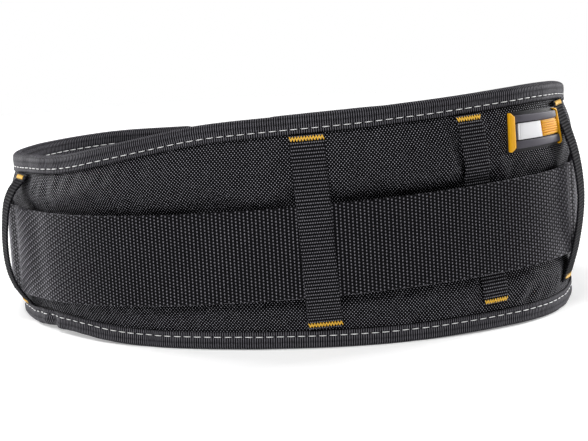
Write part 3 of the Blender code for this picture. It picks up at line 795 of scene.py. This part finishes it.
def strand(length, width, thick):
    """A short rounded stitch along X, as a template mesh."""
    shape = bmesh.new()
    bmesh.ops.create_cube(shape, size=1.0)
    bmesh.ops.scale(shape, vec=(length, width, thick), verts=shape.verts[:])

    def lengthways(least):
        return [e for e in shape.edges if abs(e.verts[0].co.x - e.verts[1].co.x) > least]

    bmesh.ops.subdivide_edges(shape, edges=lengthways(length / 2), cuts=3)
    for vert in shape.verts:
        bow = 1 - (2 * vert.co.x / length) ** 2
        vert.co.z = vert.co.z * (0.55 + 0.45 * bow) + thick * 0.45 * (bow - 0.6)
        vert.co.y *= 0.6 + 0.4 * bow
    round_edges(shape, lengthways(length / 9), width * 0.28, 1)
    mesh = bpy.data.meshes.new("strand")
    shape.to_mesh(mesh)
    shape.free()
    return mesh


def sew(name, size, frames):
    """One mesh of a strand of that size repeated at each of the given frames."""
    template = strand(*size)
    shape = bmesh.new()
    for place in frames:
        first = len(shape.verts)
        shape.from_mesh(template)
        shape.verts.ensure_lookup_table()
        bmesh.ops.transform(shape, matrix=place, verts=shape.verts[first:])
    bpy.data.meshes.remove(template)
    return finish_form(name, shape)


def frame_at(centre, ahead, outwards):
    """A frame with X ahead and Z outwards."""
    x = Vector(ahead).normalized()
    z = Vector(outwards)
    z = (z - x * z.dot(x)).normalized()
    place = Matrix((x, z.cross(x), z)).transposed().to_4x4()
    place.translation = Vector(centre)
    return place


def ply_group():
    """Twisted thread: fine diagonal plies, with painted shade in the grooves between them."""
    group, given, result = finish_group(
        "twisted_plies", (), ("Shaded Hollows", "Crowns"), ("Base Color", "Normal")
    )
    inputs = {"Vector": given["Place"], "Scale": 900.0, "Distortion": 2.0}
    plies = add_node(group, "TexWave", inputs, bands_direction="DIAGONAL").outputs["Fac"]
    set_inputs(group, result, {
        "Base Color": mixed(group, plies, given["Shaded Hollows"], given["Crowns"]),
        "Normal": relief(group, plies, 0.4, 0.1 * MM),
    })
    return group


twisted_plies = ply_group()


def thread_finish(name, colour):
    """Soft sewing thread of one colour."""
    # The thread's own colour, darkened in the grooves between the plies: painted shade.
    shaded_hollows = (*(c * 0.82 for c in colour), 1.0)
    colours = {"Shaded Hollows": shaded_hollows, "Crowns": (*colour, 1.0)}
    return finished(name, twisted_plies, colours, {"Roughness": 0.55, "Sheen Weight": 0.2})


def stitch_frames():
    """Frames of the stitches on both faces of the tape."""
    count = round(RIM_LENGTH / STITCH_PITCH)
    frames = []
    for side in (1, -1):
        for k in range(count):
            at = (k + 0.5) * RIM_LENGTH / count
            level = side * (float(tape_half(STITCH_DEPTH, at)) + STITCH_RISE)
            centre = on_rim(at, STITCH_DEPTH, level)
            ahead = on_rim(at + MM, STITCH_DEPTH, level) - on_rim(at - MM, STITCH_DEPTH, level)
            outwards = side * (on_rim(at, STITCH_DEPTH, level + MM) - on_rim(at, STITCH_DEPTH, level))
            frames.append(frame_at(centre, ahead, outwards))
    return frames


lockstitch = sew("pale_lockstitch", STITCH_SIZE, stitch_frames())
lockstitch.data.materials.append(thread_finish("pale_thread", (1.0, 1.0, 1.0)))


# Waist web
# Heavy twill webbing, stiff enough to stand clear of the pad along its edges. It runs once
# round the belt under the back loop and is drawn in a little where the side loops are sewn.

WEB_THICK = 2.5 * MM
WEB_DRAWN_IN = (
    # along, half width, out
    (-329, 2.4, -2.0), (-341, 8.0, 1.5), (-287, 9.0, -0.8), (156, 2.4, -1.8), (167, 8.0, 1.2),
    (-60, 13.0, -0.15),
)
BUCKLE_MIDDLE = (PAD_RIGHT_END + PAD_LEFT_END + WAIST_LENGTH) / 2
BUCKLE_LENGTH = 66 * MM
SOCKET_DEPTH = 14 * MM
SOCKET_END = BUCKLE_LENGTH / 2 - SOCKET_DEPTH + 0.3 * MM
WEB_START = BUCKLE_MIDDLE - WAIST_LENGTH + SOCKET_END
WEB_END = BUCKLE_MIDDLE - SOCKET_END


def strap_profile(v, width, thick, edge):
    """Round a flat strap's section: (across from -half to half, outwards) with soft edges."""
    turn = np.mod(v, 1.0) * 2
    front = turn < 1
    share = np.where(front, turn, 2 - turn)
    across = (share - 0.5) * width
    from_edge = width / 2 - np.abs(across)
    half = thick / 2 * np.clip(1 - (1 - np.clip(from_edge / edge, 0, 1)) ** 2.4, 0, 1) ** 0.5
    return across, np.where(front, half, -half)


def web_rest(along, height):
    """How the web's middle surface leaves its smooth course."""
    cup = 0.35 * MM * ((height - WEB_WIDTH / 2) / (WEB_WIDTH / 2)) ** 2
    wave = 0.25 * MM * np.sin(along / (33 * MM)) * soft_step(height, 40 * MM, 65 * MM)
    return swells(WEB_DRAWN_IN, along) + bell(along, 20, 150) * cup + wave


def web_section(u, v):
    """Round the web's section at each place along it."""
    along = WEB_START + u * (WEB_END - WEB_START)
    across, out = strap_profile(v, WEB_WIDTH, WEB_THICK, 1.0 * MM)
    height = across + WEB_WIDTH / 2
    start = WEB_START / MM
    end = WEB_END / MM
    settle = soft_band(along, start + 16, start + 50, end - 50, end - 16)
    return on_belt(along, out + settle * web_rest(along, height), height)


web = laid_form(
    "heavy_waist_web", 300, 64, web_section, (WEB_END - WEB_START, 2 * WEB_WIDTH), gather=0.8
)
web.data.materials.append(
    woven("twill_webbing", (0.25, 0.243, 0.272), 2.8, 2.35, narrow=0.6, bump=0.9, depth=0.5,
          shift=0.37, domed=1.0, spine=0.2, sheen=0.7)
)
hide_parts("waist_web")


# Buckle
# The web's two ends meet at the front in one plain moulded closure. Nothing of it shows in the
# photograph, so it is a smooth block with rounded edges and a parting groove.

GROOVE_HALF = 0.9 * MM
GROOVE_DEPTH = 0.9 * MM
END_FALL = 1.6 * MM


def plastic_group():
    """Moulded plastic: a fine spark-eroded grain, and a tone and gloss that vary slowly."""
    group, given, result = finish_group(
        "spark_eroded_grain", ("Smoothest", "Roughest"), ("Darkest", "Palest"),
        ("Base Color", "Roughness", "Normal"),
    )
    broad = noise(group, given["Place"], 60.0, 5.0)
    set_inputs(group, result, {
        "Base Color": mixed(group, broad, given["Darkest"], given["Palest"]),
        "Roughness": ranged(group, broad, given["Smoothest"], given["Roughest"]),
        "Normal": relief(group, noise(group, given["Place"], 2400.0, 2.0), 0.12, 0.1 * MM),
    })
    return group


spark_eroded_grain = plastic_group()


def moulded(name, colour, rough, wear=0.25):
    """A moulded finish whose tone varies by wear to either side of its colour."""
    return finished(
        name, spark_eroded_grain,
        {
            "Darkest": (*(c * (1 - wear) for c in colour), 1.0),
            "Palest": (*(min(c * (1 + wear), 1.0) for c in colour), 1.0),
            "Smoothest": rough - 0.1, "Roughest": rough + 0.1,
        },
        {"Specular IOR Level": 0.25},
    )


def cut_across(shape, at):
    """Cuts a flat shape right through, square to its length."""
    bmesh.ops.bisect_plane(
        shape, geom=shape.verts[:] + shape.edges[:] + shape.faces[:],
        plane_co=(at, 0, 0), plane_no=(1, 0, 0)
    )


def flat_block(low, high, cuts, rounding):
    """A block from corner to corner (along, height, out, in mm), with its edges rounded by so
    many mm and its length cut so that it can bend."""
    shape = bmesh.new()
    bmesh.ops.create_cube(shape, size=1.0)
    low = Vector(low) * MM
    high = Vector(high) * MM
    rounding *= MM
    bmesh.ops.scale(shape, vec=high - low, verts=shape.verts[:])
    bmesh.ops.translate(shape, vec=(low + high) / 2, verts=shape.verts[:])
    round_edges(shape, shape.edges[:], rounding, 3)
    for k in range(1, cuts):
        cut_across(shape, low.x + rounding + (high.x - low.x - 2 * rounding) * k / cuts)
    return shape


def lay_on_belt(shape):
    """Bends a flat layout round the belt."""
    flat = np.array([vert.co[:] for vert in shape.verts])
    for vert, point in zip(shape.verts, on_belt(flat[:, 0], flat[:, 2], flat[:, 1])):
        vert.co = point
    bmesh.ops.recalc_face_normals(shape, faces=shape.faces[:])
    return shape


buckle_shape = flat_block((-33, -4.5, -3.1), (33, 69.5, 5.9), 14, 2.2)
for side in (-1, 1):
    cut_across(buckle_shape, side * GROOVE_HALF)
for vert in buckle_shape.verts:
    from_middle = abs(vert.co.x)
    if vert.co.z > MM:
        vert.co.z -= END_FALL * float(soft_step(from_middle, 18 * MM, 33 * MM))
        vert.co.z -= GROOVE_DEPTH * (from_middle < 0.2 * MM)
bmesh.ops.translate(buckle_shape, vec=(BUCKLE_MIDDLE, 0, 0), verts=buckle_shape.verts[:])
buckle = finish_form("plain_front_buckle", lay_on_belt(buckle_shape))
buckle.data.materials.append(moulded("moulded_buckle", (0.016, 0.016, 0.018), 0.42))
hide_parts("front_buckle")


# Upright loops
# Narrow cross-ribbed webbing. Two lie on the belt: one over the web and one behind it. The two
# at the sides stand off in a bow, to take a clip or a tool.

STRAP_THICK = 1.6 * MM
STRAP_RIB = 2.3 * MM
RIB_COLUMNS = 5
RIB_HEIGHT = 0.26 * MM
STRAP_GAP = 0.6 * MM + STRAP_THICK / 2
BOW_LEFT = (
    # height, out
    (89.2, -6.0), (84, -2.6), (81, 1.4), (77.5, 4.2), (74, 6.3), (68, 8.7), (61, 10), (54, 10.8),
    (47, 11.4), (40, 11.7), (33, 11.6), (26, 11.1), (19, 10.0), (13, 8.4), (8.5, 6.7), (5, 5.0),
    (2.5, 3.6), (0, 2.0), (-3, -0.2), (-6, -2.4), (-9.6, -4.6),
)
BOW_RIGHT = (
    # height, out
    (112.4, -5.2), (105, -4), (100, -2.2), (95, -0.3), (86, 2.7), (77, 5.5), (68, 7.4), (59, 8.7),
    (50, 9.4), (41, 9.6), (32, 9), (23, 7.8), (14, 6.1), (5, 4), (0, 2.7), (-4, 1.4), (-9, -0.4),
    (-13, -1.6), (-17, -3.4), (-22, -4.6),
)


def lying_on_pad(along, height):
    """Level of a strap's middle where it lies on the pad."""
    levels = [pad_face(along + side * 10 * MM, height) for side in (-1, 0, 1)]
    return np.maximum.reduce(levels) + STRAP_GAP


def bowed_route(table):
    """A smooth route through a bow's table, finer than its rows."""
    rows = np.array(table, float) * MM
    steps = np.linalg.norm(np.diff(rows, axis=0), axis=1)
    at = np.concatenate(([0.0], np.cumsum(steps)))

    def route(share):
        total = np.zeros((len(share), 2))
        for reach in np.linspace(-3 * MM, 3 * MM, 7):
            inwards = np.minimum(1, np.minimum(share, 1 - share) * 12)
            spot = np.clip(share * at[-1] + reach * inwards, 0, at[-1])
            total[:, 0] += np.interp(spot, at, rows[:, 0])
            total[:, 1] += np.interp(spot, at, rows[:, 1])
        return total[:, 0] / 7, total[:, 1] / 7

    return route, float(at[-1])


def lying_route(top, bottom, level):
    """A straight route down the belt's face."""
    def route(share):
        height = top + (bottom - top) * share
        return height, level(height)

    return route, top - bottom


def over_web(height):
    """The back loop: on the pad at its ends, and over the web between them."""
    over = WEB_THICK / 2 + 0.35 * MM + STRAP_THICK / 2
    share = soft_band(height, -15, -1, 66, 89)
    return lying_on_pad(-61 * MM, height) * (1 - share) + over * share


def behind_web(height):
    """The tool loop: on the pad all the way, behind the web."""
    return lying_on_pad(63 * MM, height)


def ribbed_strap(name, along, lean, width, twist, route, length, finish):
    """A strap with its own ribs, swept down its route."""
    columns = round(length / STRAP_RIB * RIB_COLUMNS)

    def section(u, v):
        height, level = route(u)
        ahead = route(np.clip(u + 0.004, 0, 1))
        behind = route(np.clip(u - 0.004, 0, 1))
        fall = ahead[0] - behind[0]
        rise = ahead[1] - behind[1]
        size = np.hypot(fall, rise)
        across, thick = strap_profile(v, width, STRAP_THICK, 0.9 * MM)
        ribs = RIB_HEIGHT * (np.abs(np.sin(math.pi * u * length / STRAP_RIB)) - 0.7)
        thick = thick + np.sign(thick) * ribs
        face_out = -fall / size
        face_up = rise / size
        centre_along = along + lean * u
        centre = on_belt(centre_along, level + thick * face_out, height + thick * face_up)
        way_x, way_y = waist_way(centre_along)
        turn = -math.radians(twist) * np.sin(math.pi * u)
        across_x = way_x * np.cos(turn) - way_y * np.sin(turn)
        across_y = way_x * np.sin(turn) + way_y * np.cos(turn)
        sideways = np.stack((across_x, across_y, np.zeros(len(u))), 1) @ np.array(stand)[:3, :3].T
        return centre + across[:, None] * sideways

    piece = laid_form(name, columns, 24, section, (length, 2 * width), gather=0.6)
    piece.data.materials.append(finish)
    return piece


strap_finish = woven(
    "cross_ribbed_webbing", (0.26, 0.253, 0.281), 2.3, 1.6, narrow=0.5, bump=0.7, depth=0.3,
    shift=0.5, domed=1.0, spine=0.25
)
# The side loops are the same webbing as the others; this darker copy is painted shade, as they turn
# away from the lamps.
shaded_strap_finish = woven(
    "shaded_cross_ribbed_webbing", (0.035, 0.034, 0.039), 2.3, 1.6, narrow=0.2, bump=0.7, depth=0.3,
    shift=0.5, domed=1.0, spine=0.3, sheen=0.0, shine=0.02
)
bow_left = bowed_route(BOW_LEFT)
bow_right = bowed_route(BOW_RIGHT)
over_route = lying_route(114.3 * MM, -23 * MM, over_web)
behind_route = lying_route(115.2 * MM, -23 * MM, behind_web)

for name, node, along, lean, width, twist, route, finish in (
    # where its top end lies along the belt, its lean and its width in mm, its twist in degrees
    ("bowed_side_loop_left", "side_loop_left", -320, -6, 20, 7, bow_left, shaded_strap_finish),
    ("bowed_side_loop_right", "side_loop_right", 152, 4, 20, -4, bow_right, shaded_strap_finish),
    ("flat_back_loop", "back_loop", -64, 6, 24, 0, over_route, strap_finish),
    ("flat_tool_loop", "tool_loop", 55, 16, 20, 0, behind_route, strap_finish),
):
    strap = ribbed_strap(name, along * MM, lean * MM, width * MM, twist, *route, finish)
    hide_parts(node)


# Bartacks
# Dense zigzags of gold thread that hold both ends of every loop. Each is a row of short strands
# leaning to and fro, raised a little above the strap.

TACK_SIZE = (3.7 * MM, 1.0 * MM, 0.8 * MM)
TACK_PITCH = 1.05
TACK_HALF = 1.35 * MM
TACK_SWAY = 0.62 * MM
TACK_RISE = STRAP_THICK / 2 + 0.35 * MM


def bow_level(table):
    """How far out a bowed loop lies at a height."""
    rows = np.array(sorted(table)) * MM
    return lambda height: np.interp(height, rows[:, 0], rows[:, 1])


BARTACKS = (
    # level of the loop, along, height of the middle, width
    (over_web, -64, 111.8, 24), (over_web, -58, -20.4, 24),
    (behind_web, 55.3, 112.6, 18.5), (behind_web, 70.7, -20.4, 18.5),
    (bow_level(BOW_RIGHT), 151.5, 110.2, 12), (bow_level(BOW_RIGHT), 157.5, -19.4, 13),
    (bow_level(BOW_LEFT), -322.5, 86.8, 14), (bow_level(BOW_LEFT), -331, -8.4, 11),
)


def tack_frames(level_at, along, height, width):
    """Frames of one bartack's strands."""
    def above_loop(spot, at, rise=TACK_RISE):
        return on_belt(spot, level_at(at) + rise, at)

    count = round(width / TACK_PITCH)
    height *= MM
    frames = []
    for k in range(count):
        spot = (along + (k - (count - 1) / 2) * width / count) * MM
        sway = TACK_SWAY if k % 2 else -TACK_SWAY
        low = above_loop(spot - sway, height - TACK_HALF)
        high = above_loop(spot + sway, height + TACK_HALF)
        outwards = above_loop(spot, height, TACK_RISE + MM) - above_loop(spot, height)
        frames.append(frame_at((low + high) / 2, high - low, outwards))
    return frames


bartacks = sew("gold_bartacks", TACK_SIZE, [place for tack in BARTACKS for place in tack_frames(*tack)])
bartacks.data.materials.append(thread_finish("gold_thread", (1.0, 0.56, 0.03)))


# Badge
# A soft moulded badge sewn to the pad beside the right-hand loops: a grey plate with a raised
# rail along its top and bottom, a gold bar, a thin gold bracket, and two plain inlays.

BADGE_LEFT = 86.6
BADGE_RIGHT = 143.4
BADGE_MIDDLE = 97.0
BADGE_BACK = -3.5
BADGE_TAPER = 5.5
BADGE_SLOPE = 2.7
RIB_LEVELS = (92.7, 94.5, 96.3, 98.1, 99.9, 101.7)
BRACKET_FRONT = -0.5
BRACKET = (
    # along from the right end and height from the middle, once round the hook
    (0, -12), (0, 12), (-1.2, 13.6), (-4.6, 14.2), (-4.6, 13.1), (-2.0, 12.4), (-1.4, 11.5),
    (-1.4, -11.5), (-2.0, -12.4), (-4.6, -13.1), (-4.6, -14.2), (-1.2, -13.6),
)

# Blocks of the moulding in mm: low corner, high corner, cuts along and rounding of the edges.
BASE = (
    ((91.5, 84, -3.5), (141, 110, -2.2), 10, 0.4),
    ((85.7, 82.3, -3.5), (143.7, 111.7, -2.6), 12, 0.3),
)
RAILS = (
    ((92.4, 84.8, -2.2), (140.5, 90.4, -0.7), 10, 0.7),
    ((92.4, 104, -2.2), (140.5, 109.2, -0.7), 10, 0.7),
    ((92.4, 91.2, -2.2), (94.3, 103.2, -1.2), 2, 0.4),
)
BAR = ((86.6, 83, -3.5), (91.8, 111, -0.1), 4, 0.8)
PALE_INLAY = (
    ((94.8, 91.2, -2.2), (96.5, 103.2, -1.3), 5, 0.25),
    ((96.9, 91.2, -2.2), (118.6, 103.2, -1.3), 5, 0.25),
)
GOLD_INLAY = (
    ((118.9, 91.2, -2.2), (140.1, 103.2, -1.9), 6, 0.1),
    *(((119.35, level - 0.5, -2.2), (139.3, level + 0.5, -0.8), 5, 0.25) for level in RIB_LEVELS),
)


def tapered_bar():
    """The gold bar, drawn in at its top and bottom towards the plate."""
    shape = flat_block(*BAR)
    for vert in shape.verts:
        past = float(np.clip((vert.co.x / MM - BADGE_LEFT - 1.8) / 3.4, 0, 1))
        vert.co.y = BADGE_MIDDLE * MM + (vert.co.y - BADGE_MIDDLE * MM) * (1 - 0.2 * past)
    return shape


def hooked_bracket():
    """The thin bracket, raised from its flat outline and rounded in front."""
    shape = bmesh.new()
    outline = [(BADGE_RIGHT + x, BADGE_MIDDLE + y, BADGE_BACK) for x, y in BRACKET]
    face = shape.faces.new([shape.verts.new(Vector(spot) * MM) for spot in outline])
    raised = bmesh.ops.extrude_face_region(shape, geom=[face])
    verts = [item for item in raised["geom"] if isinstance(item, bmesh.types.BMVert)]
    bmesh.ops.translate(shape, vec=(0, 0, (BRACKET_FRONT - BADGE_BACK) * MM), verts=verts)
    round_edges(shape, [e for e in shape.edges if all(v in verts for v in e.verts)], 0.35 * MM, 2)
    return shape


def blocks(rows):
    """The blocks of one table."""
    return [flat_block(*row) for row in rows]


def badge_part(name, shapes):
    """Flat shapes joined, drawn in at the top as the pad pulls them, and laid on the belt."""
    whole = bmesh.new()
    for shape in shapes:
        mesh = bpy.data.meshes.new(name)
        shape.to_mesh(mesh)
        shape.free()
        whole.from_mesh(mesh)
        bpy.data.meshes.remove(mesh)
    for vert in whole.verts:
        from_left = vert.co.x - BADGE_LEFT * MM
        past = from_left / ((BADGE_RIGHT - BADGE_LEFT) * MM)
        from_middle = vert.co.y - BADGE_MIDDLE * MM
        vert.co.x -= from_left * from_middle * BADGE_TAPER
        vert.co.y += 0.7 * MM - BADGE_SLOPE * MM * past - 0.05 * past * from_middle
    return finish_form(name, lay_on_belt(whole))


# The base is partly the plate's own dark grey, made darker still as painted shadow in the gaps and
# outlines round the raised parts.
dark_plate_and_painted_shadow = moulded("dark_plate_and_painted_shadow", (0.010, 0.0095, 0.012), 0.55)
grey_rubber = moulded("grey_rubber", (0.082, 0.076, 0.094), 0.5)
gold_rubber = moulded("gold_rubber", (0.86, 0.42, 0.006), 0.5, wear=0.06)
pale_rubber = moulded("pale_rubber", (0.88, 0.88, 0.90), 0.5, wear=0.04)

for name, node, shapes, finish, slot in (
    ("badge_base", "badge_plate", blocks(BASE), dark_plate_and_painted_shadow, "badge_grey"),
    ("badge_rails", None, blocks(RAILS), grey_rubber, "badge_grey"),
    ("badge_bar", "badge_end_bar", [tapered_bar()], gold_rubber, "badge_gold"),
    ("badge_bracket", "badge_end_bracket", [hooked_bracket()], gold_rubber, "badge_gold"),
    ("badge_pale_inlay", "badge_pale_panel", blocks(PALE_INLAY), pale_rubber, "badge_pale"),
    ("badge_gold_inlay", "badge_gold_panel", blocks(GOLD_INLAY), gold_rubber, "badge_gold"),
):
    part = badge_part(name, shapes)
    part.data.materials.append(finish)
    if node:
        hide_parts(node)
